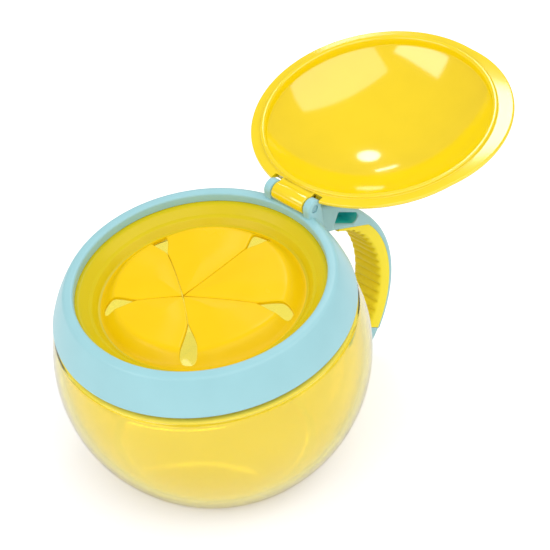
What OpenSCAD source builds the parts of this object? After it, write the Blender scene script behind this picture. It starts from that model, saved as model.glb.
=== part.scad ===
// Toddler snack container: a ball-shaped bowl with a screw-on collar, a soft opening
// of five petals, a hinged dome lid and a side handle with a soft ribbed grip.
// Millimetres. The origin is the middle of the flat base, +Z is up, and +X points
// from the bowl towards the hinge and the handle. The mouth leans away from the
// handle, so the collar, the flap and the lid share an axis that is tilted in the
// XZ plane and passes through the centre of the ball.

/* [Bowl] */
// Outer radius of the ball
bowl_r = 45; // [42:0.5:55]
// Height of the ball's centre above the flat base
centre_z = 35; // [33:0.5:38]
// Wall thickness of the bowl
bowl_wall = 2.2; // [1.6:0.1:3]
// Thickness of the bowl's floor
floor_t = 3; // [2:0.1:5]
// Rounding radius between the base and the ball
base_fillet = 4; // [2:0.5:6]
// Lean of the mouth away from the handle, in degrees
mouth_tilt = 9.5; // [0:0.5:12]
// Height of the shoulder above the ball's centre, along the mouth's axis
shoulder_h = 15; // [12:0.1:17]
// Rounding radius of the shoulder's edge
shoulder_fillet = 1.4; // [0.8:0.1:2]
// Width of the shoulder's ledge, from its rounding to the neck
ledge_w = 5; // [4:0.1:7]
// Height of the neck above the shoulder
neck_h = 8.2; // [7:0.1:10]
// Wall thickness of the neck
neck_wall = 2; // [1.4:0.1:2.6]

/* [Flap insert] */
// Thickness of the rim that is clamped between the neck and the collar
flap_rim_t = 1.4; // [1:0.1:2]
// Thickness of the soft sheet
flap_t = 1.2; // [0.8:0.1:1.6]
// Drop from the rim down to the crease round the petals
dish_drop = 2.2; // [1.5:0.1:3]
// Distance from the neck's bore in to the crease
crease_in = 3.6; // [3:0.1:5]
// Distance from the crease in to the valley round the petals
valley_in = 2.2; // [1.5:0.1:3]
// Drop from the crease down to the valley
valley_drop = 2; // [1:0.1:2.6]
// Rise of the petals' shallow dome above the valley
petal_rise = 3; // [2:0.1:4]
// Number of petals
petals = 5; // [5]
// Width of the slits between the petals
slit_w = 0.5; // [0.4:0.1:1]
// Radius of the teardrop hole at the end of each slit
hole_r = 2.4; // [1.8:0.1:3]
// Distance from the valley in to the middle of each teardrop hole
hole_in = 3.1; // [2.6:0.1:4]
// Length of each teardrop hole's taper, from its middle towards the slit
hole_taper = 11.5; // [8:0.5:14]
// Where the slits meet, measured from the axis away from the hinge
meet_back = 5; // [0:0.1:6]
// Where the slits meet, measured from the axis towards the far side (+Y)
meet_side = 3; // [0:0.1:5]
// Gap left between a petal and the ring at its root
root_gap = 1.2; // [0.8:0.1:1.6]

/* [Collar] */
// Gap between the shoulder and the collar's lower edge
collar_gap = 1.9; // [1:0.1:3]
// How far the lower edge stands out from the ball
collar_proud = 0.9; // [0.4:0.1:2]
// Radius of the bulge of the collar's outer band
bulge_r = 40; // [30:1:60]
// Wall thickness of the outer band
band_t = 1.8; // [1.2:0.1:2.4]
// Thickness of the ledge that clamps the flap's rim
clamp_t = 2.8; // [2.2:0.1:3.6]
// Step from the neck's outside in to the mouth of the collar
mouth_step = 1.4; // [1:0.1:2]
// Width of the collar's top face, from the mouth to its sharp outer corner
rim_w = 2.8; // [2.4:0.1:4]
// Rounding radius of the collar's top outer edge
rim_round = 1.5; // [0.8:0.1:2]
// Radial room between the neck and the threaded skirt, filled by the threads
thread_room = 1.4; // [1:0.1:2]
// Thickness of the threaded skirt
skirt_t = 1.2; // [0.8:0.1:1.6]
// Depth of the groove between the skirt and the outer band
groove_d = 3.2; // [1:0.1:3.5]

/* [Hinge] */
// Distance of the hinge axis outside the mouth
hinge_out = 2.8; // [2.6:0.1:4]
// Height of the hinge axis above the collar's top
hinge_up = 2.2; // [1.8:0.1:3]
// Clear width between the two ears
ear_gap = 12.4; // [8:0.1:16]
// Thickness of each ear
ear_t = 2.5; // [1.6:0.1:4]
// Radius of the ears' rounded tops
ear_r = 2.75; // [2.2:0.05:3.2]
// Radius of the lid's hinge barrel
barrel_r = 2.7; // [2.2:0.05:3]
// Gap between each end of the barrel and its ear
barrel_play = 0.3; // [0.2:0.05:0.6]
// Diameter of the hinge pin
pin_d = 2.5; // [2:0.1:3]
// Radial clearance of the pin in the barrel
pin_play = 0.05; // [0.02:0.01:0.1]
// How far each end of the pin lies below its ear's outer face
pin_sink = 0.3; // [0:0.1:0.6]

/* [Lid] */
// How far the lid's dome stands out from the ball it completes
dome_proud = 1; // [0:0.1:2]
// Wall thickness of the dome
lid_wall = 1.8; // [1.2:0.1:2.4]
// Gap between the closed lid's flange and the collar
lid_play = 0.1; // [0.1:0.05:0.4]
// Thickness of the lid's flange
flange_t = 1.35; // [1:0.05:2]
// Width of the flange outside the mouth
flange_w = 2.4; // [1.8:0.1:3]
// Radial gap between the plug ring and the mouth
plug_gap = 0.5; // [0.3:0.1:1]
// Thickness of the plug ring
plug_t = 1.5; // [1:0.1:2]
// Depth of the plug ring below the collar's top when closed
plug_d = 0.8; // [0.4:0.1:1.4]
// Thickness of the web between the hinge barrel and the dome
web_t = 3.1; // [2:0.1:3.2]
// How far the thumb lip stands out from the flange
thumb_out = 1.9; // [1:0.1:3]
// Half of the angle that the thumb lip spans, in degrees
thumb_half = 50; // [30:1:60]
// Direction of the thumb lip, counted from the hinge, in degrees
thumb_dir = -123; // [-180:1:180]
// Angle by which the lid is open, in degrees
lid_open = 175.3; // [0:0.1:178]

/* [Handle] */
// Room for fingers between the ball and the grip at its widest
finger_room = 20.6; // [16:0.1:30]
// Radius of the grip's inner face
grip_in_r = 30.2; // [26:0.1:34]
// Height of the top of the grip's inner arc above the ball's centre
grip_up = 21.2; // [18:0.1:26]
// Depth of the handle with its grip, across the bow
handle_d = 6.2; // [5:0.1:9]
// Width of the handle
handle_w = 10.6; // [8:0.1:12]
// Bevel along the handle's outer edges
handle_bevel = 1.2; // [0.5:0.1:2]
// Radius of the flatter arc along the top of the arm
arm_r = 54; // [44:1:70]
// Direction from the middle of the bow to where the arm's arc starts, in degrees
arm_start = 35; // [25:1:45]
// Distance from the outside of the ball in to the handle's root face
root_in = 3.5; // [1:0.1:4]
// Mean thickness of the frame behind the grip
frame_t = 1.8; // [1.6:0.1:2.5]
// Shift of the frame's inner arc, which thins the frame towards its tip
frame_shift = 1; // [0:0.1:1]
// Width of the rib on the frame that keys into the grip
key_w = 4; // [2:0.1:6]
// Cover of the grip over that rib
key_cover = 2.2; // [1.5:0.1:3]
// Distance from the grip's lower end to the start of that rib, in degrees
key_low = 2; // [1:0.5:5]
// Distance from the grip's upper end to the end of that rib, in degrees
key_high = 10; // [6:0.5:15]
// Direction of the handle's rounded tip, below the middle of the bow, in degrees
tip_dir = 36; // [20:1:40]
// Length of bare frame round the tip
tip_bare = 3.4; // [2:0.1:6]
// Start of the grip on the arm, counted up from level, in degrees
grip_start = 69; // [60:1:72]
// Thickness of the grip where it starts under the arm
grip_thin = 0.8; // [0.5:0.1:1.5]
// Slope of the grip's upper edge under the arm, in degrees
grip_slope = 20; // [10:1:30]
// Spacing of the ribs along the grip's inner face
rib_pitch = 3; // [2:0.1:5]
// Depth of the grooves between the ribs
rib_d = 0.5; // [0.2:0.1:0.8]
// Distance of the strap slot's square end outside the ball
slot_out = 0.4; // [0:0.1:4]
// Height of the middle of the slot's square end above the grip's inner arc
slot_up = 3.3; // [3:0.1:4]
// Length of the strap slot
slot_len = 10.2; // [6:0.1:12]
// Width of the strap slot
slot_w = 3.6; // [2:0.1:4]
// Downward slope of the strap slot, in degrees
slot_slope = 26; // [15:1:35]

/* [Hidden] */
$fn = 96;

far = 4 * bowl_r;            // larger than any part, for cutting blocks
bite = 0.3;                  // overlap of two shapes that join into one
cross = 0.03;                // how far a rounding's circle crosses the ball it runs into
press = 0.02;                // radial clearance of the pin in the ears
notch_play = 0.4;            // room round each ear in the lid
bead = 0.15;                 // step along the valley round the petals

// Bowl, measured from the ball's centre
edge_r = fillet_x(bowl_r, shoulder_h, shoulder_fillet);
neck_r = edge_r - ledge_w;
bore_r = neck_r - neck_wall;
seat_h = shoulder_h + neck_h;

// Flap insert
flap_top = seat_h + flap_rim_t;
crease_r = bore_r - crease_in;
crease_h = flap_top - dish_drop;
valley_r = crease_r - valley_in;
valley_h = crease_h - valley_drop;
petal_ball = (pow(valley_r, 2) + pow(petal_rise, 2)) / (2 * petal_rise);
ball_h = valley_h + petal_rise - petal_ball;
hole_at = valley_r - hole_in;
step_a = 360 / petals;
root_at = hole_at * cos(step_a / 2);
meet = [-meet_back, meet_side];

// Collar
low_h = shoulder_h + collar_gap;
low_r = sqrt(pow(bowl_r, 2) - pow(low_h, 2)) + collar_proud;
mouth_r = neck_r - mouth_step;
top_h = flap_top + clamp_t;
corner_r = mouth_r + rim_w;
skirt_in = neck_r + thread_room;
skirt_out = skirt_in + skirt_t;
chord = norm([low_r - corner_r, top_h - low_h]);
chord_dir = [corner_r - low_r, top_h - low_h] / chord;
bulge_in = sqrt(pow(bulge_r, 2) - pow(chord / 2, 2));
bulge_c = [(low_r + corner_r) / 2 - bulge_in * chord_dir[1],
           (low_h + top_h) / 2 + bulge_in * chord_dir[0]];
round_h = top_h - rim_round;
round_r = bulge_c[0] + sqrt(pow(bulge_r - rim_round, 2) - pow(round_h - bulge_c[1], 2));

// Hinge
hinge_r = mouth_r + hinge_out;
hinge_h = top_h + hinge_up;
pin_r = pin_d / 2;
ears_w = ear_gap + 2 * ear_t;

// Lid, closed
dome_r = bowl_r + dome_proud;
lid_h = top_h + lid_play;
flange_r = mouth_r + flange_w;
plug_out = mouth_r - plug_gap;
plug_in = plug_out - plug_t;
lip_c = (pow(flange_r + thumb_out, 2) - pow(flange_r, 2))
        / (2 * (flange_r + thumb_out - flange_r * cos(thumb_half)));
lip_r = flange_r + thumb_out - lip_c;

// Handle, in the XZ plane
grip_top = centre_z + grip_up;
bow = [bowl_r + finger_room - grip_in_r, grip_top - grip_in_r];
root_x = bowl_r - root_in;
bow_out = grip_in_r + handle_d;
arm = bow - (arm_r - bow_out) * dir(arm_start);
under_r = grip_in_r + grip_thin;
pocket_r = bow_out - frame_t;
pocket = bow + frame_shift * dir(-60);
key_r = grip_in_r + key_cover;
root_gap_ball = 2 / 3 * collar_proud;   // room between the ball and the handle's root
tip_mid = grip_in_r + handle_d / 2;
grip_end = -tip_dir + tip_bare / tip_mid * 180 / PI;
ribs = floor((grip_start - grip_end) * PI / 180 * grip_in_r / rib_pitch) - 1;
slot = [bowl_r + slot_out, grip_top + slot_up];

function dir(a) = [cos(a), sin(a)];

// Radius at which a rounding of radius f leaves a flat at distance h from the centre
// of a ball of radius r
function fillet_x(r, h, f) = sqrt(pow(r - f, 2) - pow(h - f, 2));

// Everything that shares the mouth's tilted axis is drawn upright and placed here
module on_axis() {
    translate([0, 0, centre_z]) rotate([0, -mouth_tilt, 0]) children();
}

// A shape in the handle's plane, given in X and Z, made w thick and centred on Y
module in_plane(w) {
    rotate([90, 0, 0]) linear_extrude(w, center = true) children();
}

// Block of everything below the height h, whose flat top has a rounded edge that
// runs into a ball of radius r about the origin
module rounded_block(r, h, f) {
    x = sqrt(pow(r - f + cross, 2) - pow(h - f, 2));
    rotate_extrude() {
        translate([0, -far]) square([far, far + (h - f) * r / (r - f)]);
        square([x, h]);
        translate([x, h - f]) circle(f);
    }
}

// Ball with a level flat below and a tilted flat above, both with rounded edges
module cut_ball(r, low, low_f, high, high_f) {
    intersection() {
        sphere(r);
        mirror([0, 0, 1]) rounded_block(r, low, low_f);
        rotate([0, -mouth_tilt, 0]) rounded_block(r, high, high_f);
    }
}

module bowl() {
    color([0.95, 0.84, 0.35, 0.55])
    difference() {
        union() {
            translate([0, 0, centre_z])
                cut_ball(bowl_r, centre_z, base_fillet, shoulder_h, shoulder_fillet);
            on_axis() translate([0, 0, shoulder_h - bite])
                cylinder(r = neck_r, h = neck_h + bite);
        }
        translate([0, 0, centre_z])
            cut_ball(bowl_r - bowl_wall, centre_z - floor_t, base_fillet,
                     shoulder_h - bowl_wall, shoulder_fillet);
        on_axis() translate([0, 0, shoulder_h - bowl_wall - bite])
            cylinder(r = bore_r, h = far);
    }
}

// Section of the collar's outside: the bulged band with its rounded top edge
module band_section() {
    tangent_h = bulge_c[1] + (round_h - bulge_c[1]) * bulge_r / (bulge_r - rim_round);
    intersection() {
        translate(bulge_c) circle(bulge_r);
        translate([0, low_h]) square([far, tangent_h - low_h]);
    }
    intersection() {
        union() {
            square([round_r, top_h]);
            translate([round_r, round_h]) circle(rim_round);
        }
        translate([0, tangent_h]) square([far, top_h - tangent_h]);
    }
}

// Section of the space inside the collar: mouth, room for the neck, and groove
module hollow_section() {
    square([mouth_r, far]);
    square([skirt_in, flap_top]);
    intersection() {
        translate(bulge_c) circle(bulge_r - band_t);
        translate([skirt_out, 0]) square([far, low_h + groove_d]);
    }
}

// The two ears, from the collar's rim up round the hinge axis
module ears() {
    foot = low_h + groove_d + bite;
    for (side = [-1, 1])
        translate([0, side * (ear_gap + ear_t) / 2, 0]) in_plane(ear_t) {
            translate([hinge_r, hinge_h]) circle(ear_r);
            translate([hinge_r - ear_r, foot]) square([2 * ear_r, hinge_h - foot]);
        }
}

// A cylinder along the hinge axis
module along_hinge(r, w) {
    translate([hinge_r, 0, hinge_h]) rotate([90, 0, 0])
        cylinder(r = r, h = w, center = true);
}

// Outline of the arm and of the handle's bow, without slot and grip
module handle_outline() {
    difference() {
        union() {
            intersection() {
                translate(arm) circle(arm_r);
                translate(bow) sector(arm_start, 100);
            }
            intersection() {
                translate(bow) circle(bow_out);
                translate(bow) sector(-tip_dir, arm_start);
            }
            translate(bow + tip_mid * dir(-tip_dir)) circle(handle_d / 2);
        }
        intersection() {
            translate(bow) circle(under_r);
            translate(bow) sector(grip_start - 1, 110);
        }
        intersection() {
            translate(bow) circle(grip_in_r);
            translate(bow) sector(-90, grip_start);
        }
    }
}

// Wedge from angle a to angle b, under 180 degrees
module sector(a, b) {
    mid = (a + b) / 2;
    polygon([[0, 0], far * dir(a), far * dir(mid), far * dir(b)]);
}

// Space that the grip fills: inside the frame's inner arc and below the arm
module grip_pocket() {
    corner = bow + under_r * dir(grip_start);
    intersection() {
        translate(pocket) circle(pocket_r);
        translate(bow) sector(grip_end, grip_start);
        translate(corner) rotate(-grip_slope) translate([-far, -2 * far])
            square([2 * far, 2 * far]);
    }
}

// Bar of the handle's width with bevelled outer edges, r out from centre c
module bevelled_disc(c, r) {
    translate([c[0], 0, c[1]]) rotate([90, 0, 0]) rotate_extrude()
        polygon([[0, -handle_w / 2], [r - handle_bevel, -handle_w / 2],
                 [r, handle_bevel - handle_w / 2], [r, handle_w / 2 - handle_bevel],
                 [r - handle_bevel, handle_w / 2], [0, handle_w / 2]]);
}

// Strap slot: square towards the bowl, round towards the bow
module strap_slot() {
    translate(slot) rotate(-slot_slope) {
        translate([0, -slot_w / 2]) square([slot_len - slot_w / 2, slot_w]);
        translate([slot_len - slot_w / 2, 0]) circle(slot_w / 2);
    }
}

module collar() {
    color([0.66, 0.87, 0.89])
    difference() {
        union() {
            on_axis() {
                rotate_extrude() band_section();
                ears();
            }
            // Root of the handle, out to the handle's flat face
            difference() {
                intersection() {
                    in_plane(handle_w) intersection() {
                        handle_outline();
                        translate([root_x - far, 0]) square([far, far]);
                    }
                    bevelled_disc(arm, arm_r);
                }
                translate([0, 0, centre_z]) sphere(bowl_r + root_gap_ball);
                on_axis() translate([0, 0, top_h]) cylinder(r = hinge_r, h = far);
            }
        }
        on_axis() {
            rotate_extrude() hollow_section();
            along_hinge(barrel_r + barrel_play, ear_gap);
            along_hinge(pin_r + press, far);
        }
    }
}

// Rib on the frame that runs along the inside of the grip
module grip_key() {
    in_plane(key_w) intersection() {
        difference() {
            translate(pocket) circle(pocket_r + bite);
            translate(bow) circle(key_r);
        }
        translate(bow) sector(grip_end + key_low, grip_start - key_high);
    }
}

module handle() {
    color([0.66, 0.87, 0.89])
    union() {
        frame();
        grip_key();
    }
}

module frame() {
    for (piece = [[arm, arm_r, arm_start, 100], [bow, bow_out, -90, arm_start]])
        intersection() {
            in_plane(handle_w) difference() {
                intersection() {
                    handle_outline();
                    translate([root_x, -far / 2]) square([far, far]);
                    translate(bow) sector(piece[2], piece[3]);
                }
                grip_pocket();
                strap_slot();
            }
            bevelled_disc(piece[0], piece[1]);
        }
}

module handle_grip() {
    color([0.96, 0.84, 0.22])
    difference() {
        in_plane(handle_w) difference() {
            grip_pocket();
            translate(bow) circle(grip_in_r);
        }
        grip_key();
        for (i = [1 : ribs])
            translate([bow[0], 0, bow[1]])
                rotate([0, -(grip_end + i * rib_pitch / grip_in_r * 180 / PI), 0])
                translate([grip_in_r - rib_pitch / 3 + rib_d, 0, 0]) rotate([90, 0, 0])
                cylinder(r = rib_pitch / 3, h = far, center = true);
    }
}

// The lid, closed and upright on the mouth's axis
module closed_lid() {
    difference() {
        union() {
            difference() {
                union() {
                    rotate_extrude() intersection() {
                        circle(dome_r);
                        translate([0, lid_h + flange_t / 2]) square([far, far]);
                    }
                    translate([0, 0, lid_h]) cylinder(r = flange_r, h = flange_t);
                    translate([0, 0, top_h - plug_d])
                        cylinder(r = plug_out, h = plug_d + flange_t);
                    // Thumb lip: a smaller disc set off the axis
                    rotate([0, 0, thumb_dir]) translate([lip_c, 0, lid_h])
                        cylinder(r = lip_r, h = flange_t);
                }
                for (side = [-1, 1])
                    translate([0, side * (ear_gap + ear_t) / 2, 0])
                        along_hinge(norm([ear_r, hinge_up]) + notch_play,
                                    ear_t + 2 * barrel_play);
            }
            along_hinge(barrel_r, ear_gap - 2 * barrel_play);
            in_plane(ear_gap - 2 * barrel_play)
                translate([plug_in - plug_t, lid_h])
                square([hinge_r - plug_in + plug_t, web_t]);
        }
        // Everything inside the dome and the plug ring
        rotate_extrude() {
            square([plug_in, lid_h + flange_t + bite]);
            intersection() {
                circle(dome_r - lid_wall);
                translate([0, lid_h + flange_t]) square([far, far]);
            }
        }
        along_hinge(pin_r + pin_play, ear_gap);
    }
}

module lid() {
    color([0.99, 0.85, 0.1])
    on_axis() translate([hinge_r, 0, hinge_h]) rotate([0, lid_open, 0])
        translate([-hinge_r, 0, -hinge_h]) closed_lid();
}

module hinge_pin() {
    color([0.6, 0.82, 0.84])
    on_axis() along_hinge(pin_r, ears_w - 2 * pin_sink);
}

// Shallow domed sheet that the petals and the flap's inner ring are cut from
module petal_sheet() {
    translate([0, 0, ball_h]) difference() {
        sphere(petal_ball);
        sphere(petal_ball - flap_t);
    }
}

// Teardrop hole k, with its taper pointing to where the slits meet
module teardrop(k) {
    c = hole_at * dir(k * step_a);
    toward = (meet - c) / norm(meet - c);
    across = [-toward[1], toward[0]];
    back = pow(hole_r, 2) / hole_taper;
    half = hole_r * sqrt(1 - pow(hole_r / hole_taper, 2));
    translate(c) {
        circle(hole_r);
        polygon([hole_taper * toward, back * toward + half * across,
                 back * toward - half * across]);
    }
}

// Outline of the area inside the straight roots of all petals, grown by extra
module petal_area(extra) {
    polygon([for (k = [0 : petals - 1])
        (hole_at + extra / cos(step_a / 2)) * dir(k * step_a)]);
}

// Section of the flap's ring: the domed sheet, the valley, the crease and the rim
module ring_section() {
    inner = root_at - hole_r;
    intersection() {
        translate([0, ball_h]) difference() {
            circle(petal_ball);
            circle(petal_ball - flap_t);
        }
        translate([inner, 0]) square([valley_r - inner, far]);
    }
    polygon([[valley_r - bite, valley_h - flap_t - bead],
             [valley_r + flap_t / 2, valley_h - flap_t - bead],
             [crease_r + flap_t / 2, crease_h - flap_t - bead],
             [bore_r - plug_gap, seat_h], [skirt_in - plug_gap, seat_h],
             [skirt_in - plug_gap, flap_top], [mouth_r - flap_t, flap_top],
             [crease_r, crease_h + bead], [valley_r, valley_h + bead],
             [valley_r - bite, valley_h + bead]]);
}

module flap_ring() {
    color([0.93, 0.8, 0.12])
    on_axis() difference() {
        rotate_extrude() ring_section();
        linear_extrude(far) petal_area(0);
        for (k = [0 : petals - 1])
            translate([hole_at * cos(k * step_a), hole_at * sin(k * step_a), 0])
                cylinder(r = hole_r, h = far);
    }
}

// Petal k lies between the slits k - 1 and k
module petal(k) {
    a = hole_at * dir((k - 1) * step_a);
    b = hole_at * dir(k * step_a);
    side_a = (meet - a) / norm(meet - a);
    side_b = (meet - b) / norm(meet - b);
    in_a = slit_w / 2 * [side_a[1], -side_a[0]];
    in_b = slit_w / 2 * [-side_b[1], side_b[0]];
    color([0.98, 0.83, 0.05])
    on_axis() intersection() {
        petal_sheet();
        linear_extrude(far) difference() {
            intersection() {
                polygon([a + in_a, b + in_b,
                         tip_of(a + in_a, side_a, b + in_b, side_b)]);
                petal_area(-root_gap);
            }
            teardrop(k - 1);
            teardrop(k);
        }
    }
}

// Point where the line from p along u meets the line from q along v
function tip_of(p, u, q, v) =
    p + u * (cross(q - p, v) / cross(u, v));

module petal_1() petal(1);
module petal_2() petal(2);
module petal_3() petal(3);
module petal_4() petal(4);
module petal_5() petal(5);

bowl();
collar();
handle();
handle_grip();
lid();
hinge_pin();
flap_ring();
petal_1();
petal_2();
petal_3();
petal_4();
petal_5();
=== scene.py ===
# %% [markdown]
# # A snack container for a toddler
# The real object is a small ball of a cup. A translucent bowl is cut level below and
# at a slant above. A teal collar screws onto it, clamps a soft sheet with five
# petals, carries the hinge of a dome lid, and holds a side handle with a soft grip.
#
# ## Load the imported model
# The solids come from the CAD model and stay where they are. Each of them is
# replaced here by a smoother mesh of the same size.

# %% Load the imported model
from math import atan2, cos, hypot, pi, radians, sin, sqrt, tan

import bmesh
import bpy
from mathutils import Matrix, Vector


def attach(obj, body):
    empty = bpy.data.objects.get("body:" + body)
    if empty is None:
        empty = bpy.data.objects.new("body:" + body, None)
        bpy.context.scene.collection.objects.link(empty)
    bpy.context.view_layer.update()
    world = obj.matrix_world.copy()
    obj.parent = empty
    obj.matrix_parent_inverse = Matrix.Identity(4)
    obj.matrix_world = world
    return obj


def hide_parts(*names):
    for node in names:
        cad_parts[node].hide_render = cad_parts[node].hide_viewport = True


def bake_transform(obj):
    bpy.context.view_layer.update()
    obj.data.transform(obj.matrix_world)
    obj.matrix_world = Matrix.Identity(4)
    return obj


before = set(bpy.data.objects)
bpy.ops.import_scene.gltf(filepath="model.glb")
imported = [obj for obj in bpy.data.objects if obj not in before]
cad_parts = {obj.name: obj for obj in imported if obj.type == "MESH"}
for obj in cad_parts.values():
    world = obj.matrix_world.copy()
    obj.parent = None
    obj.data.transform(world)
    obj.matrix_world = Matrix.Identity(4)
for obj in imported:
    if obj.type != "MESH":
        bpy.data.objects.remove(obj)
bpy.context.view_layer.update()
scene = bpy.context.scene
print("nodes:", ", ".join(sorted(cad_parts)))

# %% [markdown]
# ## Where things are
# All sizes are in millimetres. Most of the container turns round the axis of the
# mouth, which leans away from the handle and passes through the middle of the ball.
# A point is easiest to give there as a distance from that axis, a direction round
# it and a height along it, so one matrix carries that frame to the real one.

# %% The mouth's frame
MM = 0.001
BALL_R = 45
CENTRE_Z = 35
MOUTH_TILT = radians(9.5)
LEVEL = Matrix.Translation((0, 0, CENTRE_Z))
MOUTH = LEVEL @ Matrix.Rotation(-MOUTH_TILT, 4, "Y")
IN_METRES = Matrix.Scale(MM, 4)
print("axis of the mouth:", [round(v, 3) for v in MOUTH.to_3x3().col[2]])

# %% [markdown]
# ## Camera
# The camera looks from a little more than half a metre away through a long lens, so
# the ball stays round. It stands to one side of the hinge and looks down into the
# open mouth. Its three directions are worked out from the slope and the bearing, and
# its place is counted in radii of the ball. The lens follows from how many pixels
# the ball's radius covers. Seen from nearby, a ball's outline lies a little nearer
# than its middle, which is why a square root is needed.

# %% Camera
PICTURE = 550
LOOK_DOWN = radians(36)
BEARING = radians(-46.5)
DISTANCE, ASIDE, ABOVE = 12, 0.3877, 0.4592
BALL_PIXELS = 160
FOCAL_PIXELS = BALL_PIXELS * sqrt(DISTANCE**2 - 1)
SENSOR = 36

right = Vector((cos(BEARING), sin(BEARING), 0))
ahead = Vector((-sin(BEARING), cos(BEARING), 0))
up = sin(LOOK_DOWN) * ahead + Vector((0, 0, cos(LOOK_DOWN)))
back = -cos(LOOK_DOWN) * ahead + Vector((0, 0, sin(LOOK_DOWN)))
camera_data = bpy.data.cameras.new("camera")
camera_data.sensor_width = SENSOR
camera_data.lens = SENSOR * FOCAL_PIXELS / PICTURE
camera = bpy.data.objects.new("camera", camera_data)
scene.collection.objects.link(camera)
stand = Vector((0, 0, CENTRE_Z)) + BALL_R * (
    ASIDE * right + ABOVE * up + DISTANCE * back
)
camera.matrix_world = Matrix.Translation(stand * MM) @ Matrix(
    (right, up, back)
).transposed().to_4x4()
scene.camera = camera
print("lens:", round(camera_data.lens, 1), "mm")

# %% [markdown]
# ## Nodes written as formulas
# Materials and Geometry Nodes are both graphs of small steps. Written node by node
# they fill pages, so a value in a graph is wrapped in a class that knows plus, minus
# and times. Python then reads like the formula, and each sign adds a Math node.

# %% Graphs
class Value:
    """One output of a graph that can be used in a formula."""

    def __init__(self, graph, socket):
        self.graph, self.socket = graph, socket

    def math(self, operation, *values, **settings):
        settings["operation"] = operation
        return self.graph.node("ShaderNodeMath", settings, values)

    def __add__(self, other):
        return self.math("ADD", self, other)

    def __sub__(self, other):
        return self.math("SUBTRACT", self, other)

    def __mul__(self, other):
        return self.math("MULTIPLY", self, other)

    def __truediv__(self, other):
        return self.math("DIVIDE", self, other)

    def __pow__(self, other):
        return self.math("POWER", self, other)

    def __radd__(self, other):
        return self.math("ADD", other, self)

    def __rsub__(self, other):
        return self.math("SUBTRACT", other, self)

    def part(self, name):
        """Another output of the same node."""
        return Value(self.graph, self.socket.node.outputs[name])

    def clamped(self):
        return self.math("ADD", self, 0, use_clamp=True)


class Graph:
    """A node tree whose nodes are made by one method."""

    def __init__(self, tree):
        self.tree = tree

    def node(self, kind, settings=None, values=(), output=0):
        made = self.tree.nodes.new(kind)
        for key, value in (settings or {}).items():
            setattr(made, key, value)
        pairs = values.items() if isinstance(values, dict) else enumerate(values)
        for key, value in pairs:
            if isinstance(value, Value):
                self.tree.links.new(value.socket, made.inputs[key])
            elif value is not None:
                made.inputs[key].default_value = value
        return Value(self, made.outputs[output])


print("graphs are ready")

# %% [markdown]
# ## Paints
# A paint is a material with one Principled shader. Moulded plastic is never perfectly
# even: the mould's skin leaves a faint waviness and patches that shine a little less.
# A fine noise in the piece's own coordinates gives both, at a scale in millimetres.

# %% Paints
PATCH_MM = 9


class Paint(Graph):
    """A material whose Principled shader is set up by name."""

    def __init__(self, name, color, roughness, **settings):
        self.material = bpy.data.materials.new(name)
        self.material.use_nodes = True
        super().__init__(self.material.node_tree)
        self.shader = self.tree.nodes["Principled BSDF"]
        self.set("Base Color", (*color, 1))
        self.set("Roughness", roughness)
        for socket, value in settings.items():
            self.set(socket.replace("_", " "), value)
        self.material.diffuse_color = (*color, 1)

    def set(self, socket, value):
        if isinstance(value, Value):
            self.tree.links.new(value.socket, self.shader.inputs[socket])
        else:
            self.shader.inputs[socket].default_value = value

    def fed(self, socket):
        """The value that feeds a socket of the shader now."""
        return Value(self, self.shader.inputs[socket].links[0].from_socket)

    def cover(self, share, layer):
        """Show another shader in place of the main one by its share."""
        mixed = self.node("ShaderNodeMixShader", values={
            0: share, 1: Value(self, self.shader.outputs[0]), 2: layer,
        })
        end = self.tree.nodes["Material Output"]
        self.tree.links.new(mixed.socket, end.inputs["Surface"])

    def place(self):
        return self.node("ShaderNodeTexCoord", output="Object")

    def noise(self, grain_mm, detail=2):
        """Cloudy values round 0.5, with grains of the given size."""
        return self.node("ShaderNodeTexNoise", values={
            "Vector": self.place(), "Scale": 1 / (grain_mm * MM), "Detail": detail,
        })

    def mix(self, share, first, second):
        """Colour that goes from the first to the second as the share goes to 1."""
        values = {0: share, 6: first, 7: second}
        for key in (6, 7):
            if not isinstance(values[key], Value):
                values[key] = (*values[key], 1)
        return self.node("ShaderNodeMix", {"data_type": "RGBA"}, values, output=2)

    def skin(self, color, roughness, grain_mm, depth_mm, spread=0.06, tint=0.04):
        """Moulded surface: faint waves, uneven gloss and a slightly uneven colour."""
        patches = self.noise(PATCH_MM)
        self.set("Roughness", roughness + (patches - 0.5) * spread)
        dull = [c * (1 - tint) for c in color]
        self.set("Base Color", self.mix((patches * 2 - 0.5).clamped(), dull, color))
        waves = self.node("ShaderNodeBump", values={
            "Strength": 1, "Distance": depth_mm * MM, "Height": self.noise(grain_mm),
        })
        self.set("Normal", waves)
        return self


print("paints are ready")

# %% [markdown]
# ## Skins over rings
# Nearly every piece is a row of rings: a turned piece has circles round its axis, and
# a bar has its section at each step along its path. One function lays a skin of
# four-sided faces over such rings. A ring of one point is a pole, a loop joins the
# last ring to the first, and caps close the ends of a bar.

# %% Skins
CREASE = 40


def skin(rings, loop=False, caps=False, mesh=None):
    """Faces over rings of points in millimetres."""
    mesh = mesh or bmesh.new()
    rows = [[mesh.verts.new(Vector(p) * MM) for p in ring] for ring in rings]
    pairs = list(zip(rows, rows[1:])) + ([(rows[-1], rows[0])] if loop else [])
    for low, high in pairs:
        count = max(len(low), len(high))
        for i in range(count):
            j = (i + 1) % count
            corners = (low[i % len(low)], low[j % len(low)],
                       high[j % len(high)], high[i % len(high)])
            mesh.faces.new(list(dict.fromkeys(corners)))
    if caps:
        mesh.faces.new(rows[0])
        mesh.faces.new(rows[-1])
    return mesh


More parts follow.
